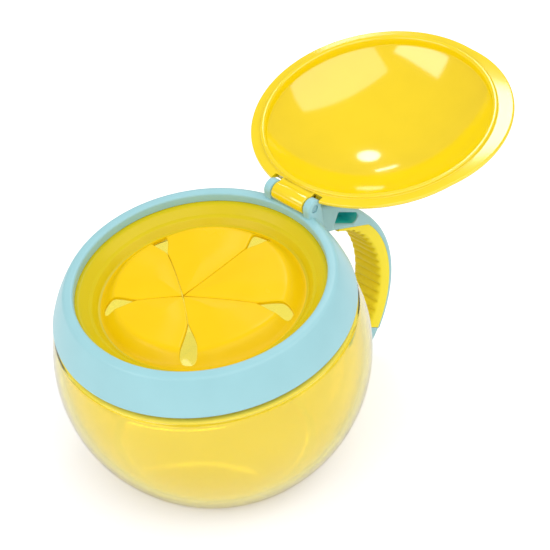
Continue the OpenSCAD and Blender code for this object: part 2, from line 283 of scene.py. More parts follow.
def piece(name, mesh, paint=None, crease=CREASE):
    """Object with outward faces, smooth except at edges sharper than the crease."""
    bmesh.ops.recalc_face_normals(mesh, faces=mesh.faces)
    data = bpy.data.meshes.new(name)
    mesh.to_mesh(data)
    mesh.free()
    data.shade_smooth()
    data.set_sharp_from_angle(angle=radians(crease))
    if paint:
        data.materials.append(paint.material)
    made = bpy.data.objects.new(name, data)
    scene.collection.objects.link(made)
    return made


print("skins are ready")

# %% [markdown]
# ## Outlines
# A section is drawn as a plain outline of straight lines and arcs. Sharp corners are
# then rounded, each by its own radius, and the outline is turned round an axis.

# %% Outlines
def arc(centre, radius, start, end, steps=8):
    """Points on a circle, from one angle in degrees to another."""
    angles = [radians(start + (end - start) * i / steps) for i in range(steps + 1)]
    return [(centre[0] + radius * cos(a), centre[1] + radius * sin(a)) for a in angles]


def eased(corners, steps=5, closed=True):
    """Outline whose corners (x, y, radius) are rounded by their own radius."""
    out, count = [], len(corners)
    for i, (x, y, *radius) in enumerate(corners):
        here = Vector((x, y))
        if not radius or radius[0] == 0 or (not closed and i in (0, count - 1)):
            out.append((x, y))
            continue
        before = Vector(corners[i - 1][:2]) - here
        after = Vector(corners[(i + 1) % count][:2]) - here
        half = before.angle(after) / 2
        reach = min(radius[0] / tan(half), 0.49 * before.length, 0.49 * after.length)
        before, after = before.normalized(), after.normalized()
        centre = here + (before + after).normalized() * reach / cos(half)
        first, last = here + before * reach - centre, here + after * reach - centre
        for step in range(steps + 1):
            way = first.slerp(last, step / steps)  # of length 1
            out.append(tuple(centre + way * first.length))
    return out


def turned(profile, around=256, place=MOUTH, reach=None):
    """Rings round an axis; a profile point is radius, height and its share of reach."""
    rings = []
    for r, h, *share in profile:
        if r == 0:
            rings.append([place @ Vector((0, 0, h))])
            continue
        ring = []
        for i in range(around):
            turn = 2 * pi * i / around
            out = r + (share[0] * reach(turn) if share else 0)
            ring.append(place @ Vector((out * cos(turn), out * sin(turn), h)))
        rings.append(ring)
    return rings


print("outlines are ready")

# %% [markdown]
# ## Cutting, joining and dressing
# Holes are cut with the Boolean modifier, whose result is kept as a plain mesh. A
# part that only lies against the rest of its moulding is added without a cut. Each
# finished piece then rides on the body that moves it and takes its solids' place.

# %% Cutting, joining and dressing
def cut(target, *cutters):
    """Take the cutters' shapes away from the target."""
    for mesh in cutters:
        tool = piece("cutter", mesh)
        change = target.modifiers.new("cut", "BOOLEAN")
        change.operation, change.solver, change.object = "DIFFERENCE", "EXACT", tool
        bpy.context.view_layer.update()
        result = bpy.data.meshes.new_from_object(
            target.evaluated_get(bpy.context.evaluated_depsgraph_get())
        )
        target.modifiers.clear()
        target.data = result
        bpy.data.objects.remove(tool)


def grow(target, mesh):
    """Add the mesh's shape to the target."""
    mesh.from_mesh(target.data)
    bmesh.ops.recalc_face_normals(mesh, faces=mesh.faces)
    mesh.to_mesh(target.data)
    mesh.free()
    target.data.shade_smooth()
    target.data.set_sharp_from_angle(angle=radians(CREASE))


def dress(made, body, slot, *nodes):
    """Make the piece ride on its body and stand for its CAD nodes."""
    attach(made, body)
    if nodes:
        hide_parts(*nodes)
    triangles = sum(len(face.vertices) - 2 for face in made.data.polygons)
    print(made.name, "has", triangles, "triangles and rides on", body)


print("tools are ready")

# %% [markdown]
# ## Finish of the bowl
# The bowl is clear plastic dyed yellow. Light that crosses it twice looks deeper, so
# the base disc, which is seen through the wall, gets its own tint. The neck stands
# behind the collar and the flap. There it is matt yellow, because clear plastic in a
# closed gap would only show the dark between the walls.

# %% Finish of the bowl
BOWL_TINT = (1.0, 0.86, 0.13)
BASE_TINT = (0.99, 0.81, 0.07)
NECK_YELLOW = (0.95, 0.76, 0.1)
BASE_TOP, BASE_R = 3.6, 27.5
MATT_FROM = 14.4

bowl_paint = Paint(
    "clear yellow plastic", BOWL_TINT, 0.05, Transmission_Weight=1, IOR=1.45,
    Coat_Weight=1, Coat_Roughness=0.03
).skin(BOWL_TINT, 0.06, grain_mm=6, depth_mm=0.002, spread=0.03, tint=0.02)
spot = bowl_paint.node("ShaderNodeSeparateXYZ", values=[bowl_paint.place()])
out = (spot.part("X") ** 2 + spot.part("Y") ** 2) ** 0.5
low = ((BASE_TOP - spot.part("Z") / MM) * 2).clamped()
in_base = low * (BASE_R - out / MM).clamped()
bowl_paint.set(
    "Base Color", bowl_paint.mix(in_base, bowl_paint.fed("Base Color"), BASE_TINT)
)
up_axis = (spot.part("Z") / MM - CENTRE_Z) * cos(MOUTH_TILT) - (
    spot.part("X") / MM * sin(MOUTH_TILT)
)
matt = bowl_paint.node(
    "ShaderNodeBsdfDiffuse", values={"Color": (*NECK_YELLOW, 1), "Roughness": 0}
)
bowl_paint.cover(((up_axis - MATT_FROM) * 3).clamped(), matt)
print("the bowl is matt from", MATT_FROM, "mm up the axis")

# %% [markdown]
# ## Other finishes
# The collar and handle are opaque teal plastic with a satin skin, the lid is glossy
# yellow, and the flap and the grip are softer, duller yellow rubber. The flap's ring
# is painted darker and greener than the petals: painted shade of the collar's wall,
# and painted teal light thrown back by it.

# %% Other finishes
TEAL = (0.335, 0.615, 0.665)
LID_YELLOW = (0.95, 0.7, 0.003)
FLAP_YELLOW = (0.89, 0.575, 0.001)
# The ring's yellow is darker and greener: painted shade and painted teal bounce light
# from the wall.
RIM_YELLOW_PAINTED_SHADE = (0.7, 0.55, 0.004)
GRIP_YELLOW = (1.0, 0.82, 0.02)
PIN_TEAL = (0.25, 0.5, 0.56)

teal_paint = Paint("teal plastic", TEAL, 0.3).skin(
    TEAL, 0.3, grain_mm=1.2, depth_mm=0.004
)
lid_paint = Paint(
    "yellow plastic", LID_YELLOW, 0.1, IOR=1.7, Specular_IOR_Level=0.9
).skin(LID_YELLOW, 0.1, grain_mm=2.5, depth_mm=0.002, spread=0.04)
flap_paint = Paint(
    "yellow rubber", FLAP_YELLOW, 0.26, Specular_IOR_Level=0.2
).skin(FLAP_YELLOW, 0.26, grain_mm=0.8, depth_mm=0.003)
# The ring's paint carries painted shade and a painted teal bounce from the collar's
# wall.
rim_paint_with_painted_shade = Paint(
    "yellow rubber rim", RIM_YELLOW_PAINTED_SHADE, 0.3, Specular_IOR_Level=0.3
).skin(RIM_YELLOW_PAINTED_SHADE, 0.3, grain_mm=0.8, depth_mm=0.003)
grip_paint = Paint(
    "soft yellow grip", GRIP_YELLOW, 0.45, Specular_IOR_Level=0.3
).skin(GRIP_YELLOW, 0.45, grain_mm=0.4, depth_mm=0.01)
pin_paint = Paint("hinge pin", PIN_TEAL, 0.35).skin(
    PIN_TEAL, 0.35, grain_mm=0.6, depth_mm=0.004
)
print("finishes:", len(bpy.data.materials))

# %% [markdown]
# ## Bowl
# The bowl is one moulding: a ball with a level foot, a slanted shoulder and a neck
# for the thread. Its wall needs an inside as well, because light bends at both
# faces of clear plastic. The rings start level at the foot and lean more and more
# towards the mouth on their way up, so both ends meet their flats without a seam.

# %% Walls of the bowl
LEVEL_TO, LEANING_FROM = -44, 14


def smooth(share):
    """Goes from 0 to 1 without a corner at either end."""
    share = min(max(share, 0), 1)
    return share * share * (3 - 2 * share)


def ball_wall(r, low, high, steps=26):
    """Leaning rings up a ball, from one slope in degrees to another."""
    rings = []
    for i in range(steps + 1):
        slope = low + (high - low) * i / steps
        lean = smooth((slope - LEVEL_TO) / (LEANING_FROM - LEVEL_TO))
        rings.append((r * cos(radians(slope)), r * sin(radians(slope)), lean))
    return rings


def flat(points, lean):
    return [(x, y, lean) for x, y in points]


print("the rings lean from a slope of", LEVEL_TO, "to", LEANING_FROM, "degrees")

# %% Bowl
WALL_T, FOOT_H, FLOOR_H, FOOT_ROUND = 2.2, -35, -32, 4
SHOULDER_R, SHOULDER_H, SHOULDER_ROUND = 41.13, 15, 1.8
NECK_R, BORE_R, SEAT_H = 36.42, 34.42, 23.2
ROOF_R, ROOF_H, ROOF_ROUND = 39.8, 12.8, 1.4

outside = (
    [(0, FOOT_H, 0), (14, FOOT_H, 0)]
    + flat(arc((26.83, FOOT_H + FOOT_ROUND), FOOT_ROUND, -90, -49.13), 0)
    + ball_wall(BALL_R, -48, 16.8)
    + flat(arc((SHOULDER_R, SHOULDER_H - SHOULDER_ROUND), SHOULDER_ROUND,
               17.79, 90, 10), 1)
    + flat(eased([(SHOULDER_R, SHOULDER_H), (NECK_R, SHOULDER_H, 0.6),
                  (NECK_R, SEAT_H, 0.4), (BORE_R, SEAT_H, 0.5),
                  (BORE_R, ROOF_H, 0.6), (ROOF_R, ROOF_H)], closed=False)[1:-1], 1)
)
inside = (
    flat(arc((ROOF_R, ROOF_H - ROOF_ROUND), ROOF_ROUND, 90, 15.98, 7), 1)
    + ball_wall(BALL_R - WALL_T, 15, -45)
    + flat(arc((26.86, FLOOR_H + FOOT_ROUND), FOOT_ROUND, -46.18, -90), 0)
    + [(14, FLOOR_H, 0), (0, FLOOR_H, 0)]
)
bowl_rings = []
for r, h, lean in outside + inside:
    place = LEVEL @ Matrix.Rotation(-lean * MOUTH_TILT, 4, "Y")
    bowl_rings += turned([(r, h)], place=place)
bowl = piece("bowl_shell", skin(bowl_rings), bowl_paint)
dress(bowl, "bowl_body", "bowl_plastic", "bowl")

# %% [markdown]
# ## Collar
# The collar is a turned ring with two walls: the bulged band that shows, and the
# thin skirt inside it that carries the thread. Its section is one closed outline,
# so it has no poles. Every edge gets a small radius, as a mould leaves it, because
# it is those radii that catch the light.

# %% Collar
MOUTH_R, EDGE_R, TOP_H, FLAP_TOP = 35.02, 37.82, 27.4, 24.6
BAND_C, BAND_R, BAND_T = (4.2, 5.73), 40, 1.8
LOW_H, GROOVE_H = 16.9, 20.1
SKIRT_IN, SKIRT_OUT = 37.82, 39.02


def band(h, depth=0):
    """Radius of the band at a height, at a depth under its outer face."""
    return BAND_C[0] + sqrt((BAND_R - depth) ** 2 - (h - BAND_C[1]) ** 2)


section = eased(
    [(band(LOW_H), LOW_H, 0.5)]
    + [(band(h), h) for h in range(18, 26)]
    + [(EDGE_R, TOP_H, 1.7), (MOUTH_R, TOP_H, 0.7), (MOUTH_R, FLAP_TOP, 0.2),
       (SKIRT_IN, FLAP_TOP, 0.2), (SKIRT_IN, LOW_H, 0.4), (SKIRT_OUT, LOW_H, 0.4),
       (SKIRT_OUT, GROOVE_H, 0.4), (band(GROOVE_H, BAND_T), GROOVE_H, 0.4),
       (band(18.5, BAND_T), 18.5), (band(LOW_H, BAND_T), LOW_H, 0.5)],
    steps=6,
)
collar = skin(turned(section), loop=True)
print("section of the collar:", len(section), "points")

# %% [markdown]
# ## Hinge ears
# Each ear is a plate with a round top and a bored hole. Its outline is walked round
# the hinge axis, so that every point of it has a partner on the hole's edge, and the
# faces between them leave no cap to fill.

# %% Bored plates
HINGE_R, HINGE_H = 37.82, 29.6
EAR_R, EAR_GAP, EAR_T = 2.75, 12.4, 2.5
EAR_FOOT, EAR_ROUND = 20.6, 0.55
PIN_R, PIN_SINK, PIN_CHAMFER = 1.25, 0.3, 0.25


def inset(outline, by):
    """Outline moved inwards along the mean of its edges' normals."""
    out, count = [], len(outline)
    for i, here in enumerate(outline):
        a = Vector(outline[i - 1]) - Vector(here)
        b = Vector(outline[(i + 1) % count]) - Vector(here)
        side = (b.normalized() - a.normalized()).normalized()
        out.append((here[0] - side.y * by, here[1] + side.x * by))
    return out


def plate_rings(outline, low, high, edge, steps=4):
    """Outlines (x, z, y) of a plate whose two rims are rounded."""
    rings = []
    for end, way in ((low, 1), (high, -1)):
        turns = [pi / 2 * i / steps for i in range(steps + 1)]
        rows = [(end + way * edge * (1 - sin(t)), edge * (1 - cos(t)))
                for t in turns[::-1]]
        rows = rows if way == 1 else rows[::-1]
        for y, by in rows:
            ring = inset(outline, by) if by > 1e-6 else outline
            rings.append([(x, z, y) for x, z in ring])
    return rings


def bored_plate(outline, hole_r, low, high, edge, place, mesh=None):
    """Plate across the hinge, with a hole for the pin."""
    rows = plate_rings(outline, low, high, edge)
    turns = [atan2(z - HINGE_H, x - HINGE_R) for x, z in outline]
    hole = [(HINGE_R + hole_r * cos(t), HINGE_H + hole_r * sin(t)) for t in turns]
    rows += [[(x, z, end) for x, z in hole] for end in (high, low)]
    points = [[place @ Vector((x, y, z)) for x, z, y in row] for row in rows]
    return skin(points, loop=True, mesh=mesh)


print("an ear is", EAR_T, "mm thick")

# %% Collar with its ears
ear_outline = (
    arc((HINGE_R, HINGE_H), EAR_R, -10, 190, 28)
    + [(HINGE_R - EAR_R, HINGE_H - k) for k in (2, 4, 6, 8)]
    + [(HINGE_R - EAR_R, EAR_FOOT), (HINGE_R, EAR_FOOT), (HINGE_R + EAR_R, EAR_FOOT)]
    + [(HINGE_R + EAR_R, HINGE_H - k) for k in (8, 6, 4, 2)]
)
for side in (-1, 1):
    middle = side * (EAR_GAP + EAR_T) / 2
    bored_plate(ear_outline, PIN_R, middle - EAR_T / 2, middle + EAR_T / 2,
                EAR_ROUND, MOUTH, collar)
print("ears stand", HINGE_H + EAR_R - TOP_H, "mm above the rim")
collar_ring = piece("collar_ring", collar, teal_paint)
dress(collar_ring, "collar_body", "frame_plastic", "collar")

# %% [markdown]
# ## Hinge pin
# The pin is a plain rod with chamfered ends that lie a little below the ears.

# %% Hinge pin
half = EAR_GAP / 2 + EAR_T - PIN_SINK
pin_profile = [(0, -half), (PIN_R - PIN_CHAMFER, -half), (PIN_R, PIN_CHAMFER - half),
               (PIN_R, half - PIN_CHAMFER), (PIN_R - PIN_CHAMFER, half), (0, half)]
hinge_axis = MOUTH @ Matrix.Translation((HINGE_R, 0, HINGE_H)) @ Matrix.Rotation(
    pi / 2, 4, "X"
)
pin = piece("hinge_pin_rod", skin(turned(pin_profile, 48, hinge_axis)), pin_paint)
dress(pin, "collar_body", "pin_plastic", "hinge_pin")

# %% [markdown]
# ## Lid
# The lid is a turned shell too: dome outside, flange, plug ring, dome inside. Its
# thumb lip is a second, smaller circle set off the axis, so the flange's edge is
# pushed out to whichever circle lies further out. The lid is drawn closed and then
# swung open about the hinge.

# %% Lid
LID_OPEN = radians(175.3)
HINGE = Matrix.Translation((HINGE_R, 0, HINGE_H))
OPEN = MOUTH @ HINGE @ Matrix.Rotation(LID_OPEN, 4, "Y") @ HINGE.inverted()
FLANGE_R, LID_H, FLANGE_H = 37.42, 27.5, 28.85
PLUG_OUT, PLUG_IN, PLUG_H = 34.52, 33.02, 26.6
DOME_R, DOME_IN = 46, 44.2
LIP_FROM = 36.7
THUMB_DIR, THUMB_C, THUMB_R = radians(-123), 4.77, 34.5


def thumb_lip(turn):
    """How far the thumb lip stands out beyond the flange."""
    turn -= THUMB_DIR
    lip = THUMB_C * cos(turn) + sqrt(THUMB_R**2 - (THUMB_C * sin(turn)) ** 2)
    return max(lip - FLANGE_R, 0)


lid_outline = eased(
    [(0, DOME_R)] + arc((0, 0), DOME_R, 87, 43, 22)
    + [(35.83, FLANGE_H, 0.8), (FLANGE_R, FLANGE_H, 0.6), (FLANGE_R, LID_H, 0.5),
       (PLUG_OUT, LID_H, 0.3), (PLUG_OUT, PLUG_H, 0.6), (PLUG_IN, PLUG_H, 0.7),
       (PLUG_IN, 29.38, 0.8)]
    + arc((0, 0), DOME_IN, 45, 87, 22) + [(0, DOME_IN)],
    closed=False,
)
lid_profile = [(r, h, 1 if r > LIP_FROM else 0) for r, h in lid_outline]
lid_rings = turned(lid_profile, place=OPEN, reach=thumb_lip)
lid = piece("lid_dome", skin(lid_rings), lid_paint)
print("the lid swings by", round(LID_OPEN / radians(1), 1), "degrees")

# %% [markdown]
# ## Notches for the ears
# The flange would cut through the two ears as it swings. Each notch is a short
# cylinder round the hinge axis, a little larger than the ear.

# %% Notches for the ears
PLAY, NOTCH_PLAY = 0.3, 0.4

swing = hypot(EAR_R, HINGE_H - TOP_H) + NOTCH_PLAY
notches = []
for side in (-1, 1):
    middle, wide = side * (EAR_GAP + EAR_T) / 2, EAR_T / 2 + PLAY
    axis = OPEN @ HINGE @ Matrix.Translation((0, middle, 0)) @ Matrix.Rotation(
        pi / 2, 4, "X"
    )
    ends = [(0, -wide), (swing, -wide), (swing, wide), (0, wide)]
    notches.append(skin(turned(ends, 64, axis)))
cut(lid, *notches)
print("the notches reach", round(swing, 2), "mm from the hinge axis")

# %% [markdown]
# ## Hinge barrel
# The barrel turns on the pin between the ears, and a short web joins it to the
# flange. Both are one bored plate, as wide as the gap between the ears less a little
# play at each side.

# %% Hinge barrel
BARREL_R, BARREL_ROUND, BORE_PLAY = 2.7, 0.4, 0.05
WEB_R, WEB_TOP = 33.9, 30.6

barrel_outline = (
    arc((HINGE_R, HINGE_H), BARREL_R, -129, 158, 30)
    + [(34.9, WEB_TOP), (WEB_R, WEB_TOP), (WEB_R, 29), (WEB_R, LID_H), (35, LID_H)]
)
barrel_half = EAR_GAP / 2 - PLAY
grow(lid, bored_plate(barrel_outline, PIN_R + BORE_PLAY, -barrel_half, barrel_half,
                      BARREL_ROUND, OPEN))
dress(lid, "lid_body", "lid_plastic", "lid")

# %% [markdown]
# ## Finish of the handle
# The handle is of the collar's plastic. Inside the strap slot the teal is painted
# deeper and greener: painted shade of the slot's inner walls. The finish finds the slot
# by the distance from its middle line, a short line that is turned a little about
# the width of the handle.

# %% Finish of the handle
SLOT_AT, SLOT_TURN, SLOT_LONG = Vector((45.4, 59.5)), radians(26), 8.4
# Deeper teal painted into the slot as painted shade of its inner walls.
SLOT_PAINTED_SHADE_TEAL = (0.02, 0.52, 0.49)
PAINTED_SHADE_OFF, PAINTED_SHADE_HALF = 2.1, 5.1

handle_paint = Paint("teal plastic of the handle", TEAL, 0.3).skin(
    TEAL, 0.3, grain_mm=1.2, depth_mm=0.004
)
spot = handle_paint.node("ShaderNodeSeparateXYZ", values=[handle_paint.place()])
x = (spot.part("X") - SLOT_AT.x * MM) / MM
z = (spot.part("Z") - SLOT_AT.y * MM) / MM
along = x * cos(SLOT_TURN) - z * sin(SLOT_TURN)
across = x * sin(SLOT_TURN) + z * cos(SLOT_TURN)
past = along - (along / SLOT_LONG).clamped() * SLOT_LONG
off = (past * past + across * across) ** 0.5
y = spot.part("Y") / MM
inwards = ((PAINTED_SHADE_HALF - y.math("ABSOLUTE", y)) * 4).clamped()
# Mask of the painted slot shade: near the slot's middle line, inside the handle's
# width.
slot_painted_shade = ((PAINTED_SHADE_OFF - off) * 8).clamped() * inwards
handle_paint.set(
    "Base Color", handle_paint.mix(slot_painted_shade, handle_paint.fed("Base Color"), SLOT_PAINTED_SHADE_TEAL)
)
print("slot:", SLOT_LONG, "mm long")

# %% [markdown]
# ## Handle
# The handle is a bar that runs from the collar over an arc of one radius and down a
# bow of a tighter one. Its section is a rectangle with rounded outer edges. Where
# the grip lies against it the bar is only a thin strip, so both its faces are given
# as distances from the middle of the bow, one for each direction.

# %% Faces of the handle
BOW, GRIP_IN_R, BOW_OUT = Vector((35.4, 26)), 30.2, 36.4
ARM_R, ARM_START = 54, 35
GRIP_START, GRIP_END, TIP_DIR = 69, -30.15, -36
POCKET_R, POCKET_DIR = 34.6, -60
ARM_UNDER, ARM_UNDER_DIR = 30.995, 70
ARM_LAP = 0.8


def heading(degrees_up):
    return Vector((cos(radians(degrees_up)), sin(radians(degrees_up))))


def outer_face(a):
    """Distance of the outer face: the bow, then the flatter arc of the arm."""
    if a < ARM_START:
        return BOW_OUT
    off = ARM_R - BOW_OUT
    turn = radians(a - ARM_START)
    return sqrt(ARM_R**2 - (off * sin(turn)) ** 2) - off * cos(turn)


def inner_face(a):
    """Distance of the inner face: the arm's, then the pocket behind the grip."""
    if a > GRIP_START:
        return GRIP_IN_R + ARM_LAP
    turn = radians(a - POCKET_DIR)
    pocket = cos(turn) + sqrt(POCKET_R**2 - sin(turn) ** 2)
    under_arm = ARM_UNDER / cos(radians(max(a, 0) - ARM_UNDER_DIR))
    return min(pocket, under_arm)


print("the strip behind the grip is", round(BOW_OUT - inner_face(0), 2), "mm thick")

# %% Handle
HANDLE_W, HANDLE_EDGE = 10.6, 1.4
ROOT_DIR, BAR_STEPS, TIP_STEPS = 101, 90, 5
TIP_HALF, TIP_ROUND = 3.1, 0.7


def bar_section(middle, way, low, high, wide, edges):
    """Section of the bar: from low to high along way, and wide across it."""
    inner, outer = edges
    corners = [(low, -wide, inner), (high, -wide, outer),
               (high, wide, outer), (low, wide, inner)]
    points = [(middle + way * r, y) for r, y in eased(corners)]
    return [(p.x, y, p.y) for p, y in points]


wide = HANDLE_W / 2
rings = []
for i in range(BAR_STEPS + 1):
    a = ROOT_DIR + (GRIP_END - ROOT_DIR) * i / BAR_STEPS
    rings.append(bar_section(BOW, heading(a), inner_face(a), outer_face(a), wide,
                             (0.15, HANDLE_EDGE)))
for i in range(TIP_STEPS + 1):
    a = GRIP_END + (TIP_DIR - GRIP_END) * i / TIP_STEPS
    rings.append(bar_section(BOW, heading(a), GRIP_IN_R, BOW_OUT, wide,
                             (0.6, HANDLE_EDGE)))
tip = BOW + heading(TIP_DIR) * (GRIP_IN_R + BOW_OUT) / 2
for slope in (15, 30, 45, 58, 70, 80, 87):
    half = TIP_HALF * cos(radians(slope))
    rings.append(bar_section(
        tip + heading(TIP_DIR - 90) * TIP_HALF * sin(radians(slope)),
        heading(TIP_DIR), -half, half,
        wide - TIP_ROUND * (1 - cos(radians(slope))), (0.6, HANDLE_EDGE)
    ))
handle = piece("handle_bar", skin(rings, caps=True), handle_paint)
print("sections of the handle:", len(rings))

# %% [markdown]
# ## Where the handle meets the collar
# The bar starts inside the collar, so what would reach the bowl or the hollow of the
# collar is cut away with a turned shape: a ball a little larger than the bowl, then
# the middle of the band's wall. The room for the hinge barrel and the strap slot are
# cut in the same way.

# %% Handle cuts
ROOM_R, LAP_DEPTH = 45.6, 0.9
SLOT_HALF, SLOT_ROUND, BEYOND = 1.8, 0.4, 9

room = (
    [(0, -ROOM_R)] + arc((0, 0), ROOM_R, -88, 21, 60)
    + [(band(h, LAP_DEPTH), h) for h in (17, 19, 21, 23, 25, 26.5)]
    + [(37.5, TOP_H - 0.05), (37.5, 34), (0, 34)]
)
room_r, room_half = BARREL_R + PLAY, EAR_GAP / 2
barrel_room = [(0, -room_half), (room_r, -room_half), (room_r, room_half),
               (0, room_half)]
slot_place = Matrix.Translation((SLOT_AT.x, 0, SLOT_AT.y)) @ Matrix.Rotation(
    SLOT_TURN, 4, "Y"
)
slot_outline = eased(
    [(0, -SLOT_HALF, SLOT_ROUND), (SLOT_LONG, -SLOT_HALF)]
    + arc((SLOT_LONG, 0), SLOT_HALF, -80, 80, 12)
    + [(SLOT_LONG, SLOT_HALF), (0, SLOT_HALF, SLOT_ROUND)]
)
slot_rings = [[slot_place @ Vector((x, y, z)) for x, z in slot_outline]
              for y in (-BEYOND, BEYOND)]
cut(
    handle,
    skin(turned(room)),
    skin(turned(barrel_room, 64, hinge_axis)),
    skin(slot_rings, caps=True),
)
dress(handle, "collar_body", "frame_plastic", "handle")

# %% [markdown]
# ## Geometry Nodes
# The next shapes repeat by a rule, so they are made by Geometry Nodes. A rule is a
# node tree with named inputs for its sizes. It is put on an object as a modifier,
# its inputs are set by the socket's identifier, and the result is kept as a plain
# mesh, because an exported model can't hold the rule itself.

# %% Rules
class Rule(Graph):
    """A Geometry Nodes tree with named inputs in metres, turns or counts."""

    def __init__(self, name, **inputs):
        super().__init__(bpy.data.node_groups.new(name, "GeometryNodeTree"))
        add = self.tree.interface.new_socket
        add("Geometry", in_out="INPUT", socket_type="NodeSocketGeometry")
        for key, kind in {**inputs, "Material": "Material"}.items():
            add(key, in_out="INPUT", socket_type="NodeSocket" + kind)
        add("Geometry", in_out="OUTPUT", socket_type="NodeSocketGeometry")
        self.inputs = self.tree.nodes.new("NodeGroupInput")

    def input(self, name):
        return Value(self, self.inputs.outputs[name])

    def close(self, geometry):
        real = self.node("GeometryNodeRealizeInstances", values=[geometry])
        done = self.node(
            "GeometryNodeSetMaterial",
            values={"Geometry": real, "Material": self.input("Material")},
        )
        end = self.tree.nodes.new("NodeGroupOutput")
        self.tree.links.new(done.socket, end.inputs["Geometry"])

    def make(self, target, paint, **sizes):
        change = target.modifiers.new(self.tree.name, "NODES")
        change.node_group = self.tree
        names = {item.name: item.identifier for item in self.tree.interface.items_tree
                 if item.in_out == "INPUT"}
        change[names["Material"]] = paint.material
        for key, value in sizes.items():
            change[names[key]] = value
        bpy.context.view_layer.update()
        result = bpy.data.meshes.new_from_object(
            target.evaluated_get(bpy.context.evaluated_depsgraph_get())
        )
        target.modifiers.clear()
        target.data = result


print("rules are ready")

# %% [markdown]
# ## Grip
# The grip is a soft strip in the bow's hollow, with narrow grooves across it that
# leave rounded ribs. The strip is made smooth and with many rings. The rule then
# moves its inner face away from the middle of the bow, by a wave of the distance
# along the arc. The wave dies out at both ends of the strip.

# %% Strip of the grip
GRIP_STEPS, GRIP_EDGE, GRIP_PLAY = 300, 1.6, 0.02
GRIP_FROM, GRIP_SPAN = GRIP_END + 0.25, GRIP_START - 0.6 - GRIP_END

rings = []
for i in range(GRIP_STEPS + 1):
    a = GRIP_FROM + GRIP_SPAN * i / GRIP_STEPS
    rings.append(bar_section(BOW, heading(a), GRIP_IN_R, inner_face(a) - GRIP_PLAY,
                             wide, (GRIP_EDGE, 0.1)))
grip = piece("grip_strip", skin(rings, caps=True), grip_paint)
print("sections of the grip:", len(rings))

# %% Ribs of the grip
RIB_PITCH, RIB_DEPTH, RIB_REACH, FADE = 3, 0.8, 0.9, 14

ribs = Rule("ribs", Radius="Float", Pitch="Float", Depth="Float", First="Float",
            Last="Float")
parts = ribs.node(
    "ShaderNodeSeparateXYZ", values=[ribs.node("GeometryNodeInputPosition")]
)
east = parts.part("X") - BOW.x * MM
rise = parts.part("Z") - BOW.y * MM
turn = east.math("ARCTAN2", rise, east)
far_off = (east * east + rise * rise) ** 0.5
phase = turn * ribs.input("Radius") / ribs.input("Pitch") * (2 * pi)
wave = phase.math("COSINE", phase)
groove = (0.5 - wave * 0.5) ** 2
near_face = (1 - (far_off - ribs.input("Radius")) / (RIB_REACH * MM)).clamped()
fade = ((turn - ribs.input("First")) * FADE).clamped() * (
    (ribs.input("Last") - turn) * FADE
).clamped()
push = groove * near_face * fade * ribs.input("Depth")
offset = ribs.node(
    "ShaderNodeCombineXYZ",
    values={"X": push * east / far_off, "Z": push * rise / far_off},
)
ribs.close(ribs.node(
    "GeometryNodeSetPosition",
    values={"Geometry": ribs.input("Geometry"), "Offset": offset},
))
ribs.make(grip, grip_paint, Radius=GRIP_IN_R * MM, Pitch=RIB_PITCH * MM,
          Depth=RIB_DEPTH * MM, First=radians(GRIP_END + 3),
          Last=radians(GRIP_START - 7))
dress(grip, "collar_body", "soft_grip", "handle_grip")

# %% [markdown]
# ## Soft flap
# The flap is one sheet of soft rubber. Its ring dips from the clamped rim over a
# crease into a valley, and inside the valley five petals swell like small cushions
# between slits that end in teardrop holes. The slits come first. Each starts where
# all five meet, runs in a curve that straightens towards its hole, and widens there.
# A hole is given by its direction from the axis and the length of its taper.

# %% Slits and holes
HOLE_AT, HOLE_R = 24.9, 2.4
HOLES = [(2, 9), (74.5, 9.5), (141.5, 9), (216.5, 13), (287, 10.5)]
MEET, BENT = Vector((-5.7, 1.6)), 0.3
SLIT, SLIT_MORE, MORE_UNTIL = 0.07, 0.12, 0.12
FIRST, SLIT_STEPS = 0.005, 16


def slit_edge(k, side):
    """Edge of slit k from the meeting point to the far end of its hole."""
    turn, taper = HOLES[k % 5]
    out = Vector((cos(radians(turn)), sin(radians(turn))))
    hole = out * HOLE_AT
    length = (hole - MEET).length
    bend = hole - out * length * BENT
    narrow = 1 - taper / length
    steps = [i / SLIT_STEPS for i in range(SLIT_STEPS + 1)]
    shares = [FIRST + (narrow - FIRST) * step**1.5 for step in steps]
    shares += [narrow + (1 - narrow) * step for step in steps[1:]]
    points = []
    for t in shares:
        spot = MEET.lerp(bend, t).lerp(bend.lerp(hole, t), t)
        along = (bend - MEET).lerp(hole - bend, t).normalized()
        swell = sin(pi / 2 * max(t - narrow, 0) / (1 - narrow)) ** 1.15
        wide = SLIT + (HOLE_R - SLIT) * swell + SLIT_MORE * max(1 - t / MORE_UNTIL, 0)
        points.append(spot + Vector((-along.y, along.x)) * side * wide)
    # The far end of the hole is flatter than half a circle.
    for step in steps[1:]:
        turn = pi / 2 * step
        far = HOLE_AT + HOLE_R * sin(turn) ** 0.8 + 0.03 * step
        wide = side * HOLE_R * cos(turn) ** 0.6 if step < 1 else 0
        points.append(out * sqrt(far**2 - wide**2) + Vector((-out.y, out.x)) * wide)
    return points


print("the slits meet", round(MEET.length, 1), "mm from the middle")

# %% [markdown]
# The sheet swells from the valley in a soft slope. On top of that each petal is a
# cushion that is full in its middle and rounds off at its two slits.

# %% Height of the sheet
VALLEY_R, VALLEY_H = 28.6, 20.4
SWELL, SWELL_OVER = 3.5, 4.8
CUSHION, CUSHION_OVER = 0.6, 6


def round_edge(distance, wide):
    """Goes from 0 at an edge to 1 in a quarter of a circle."""
    share = min(max(distance / wide, 0), 1)
    return sqrt(1 - (1 - share) ** 2)


def sheet_height(spot, near):
    """Height at a place that is so near to the closest slit."""
    inward = VALLEY_R - spot.length
    cushion = 0.3 * round_edge(near, 0.6) + 0.7 * smooth(near / 9)
    return VALLEY_H + SWELL * smooth(inward / SWELL_OVER) + (
        CUSHION * cushion * smooth(inward / CUSHION_OVER)
    )


print("the petals rise to", VALLEY_H + SWELL + CUSHION, "mm along the axis")

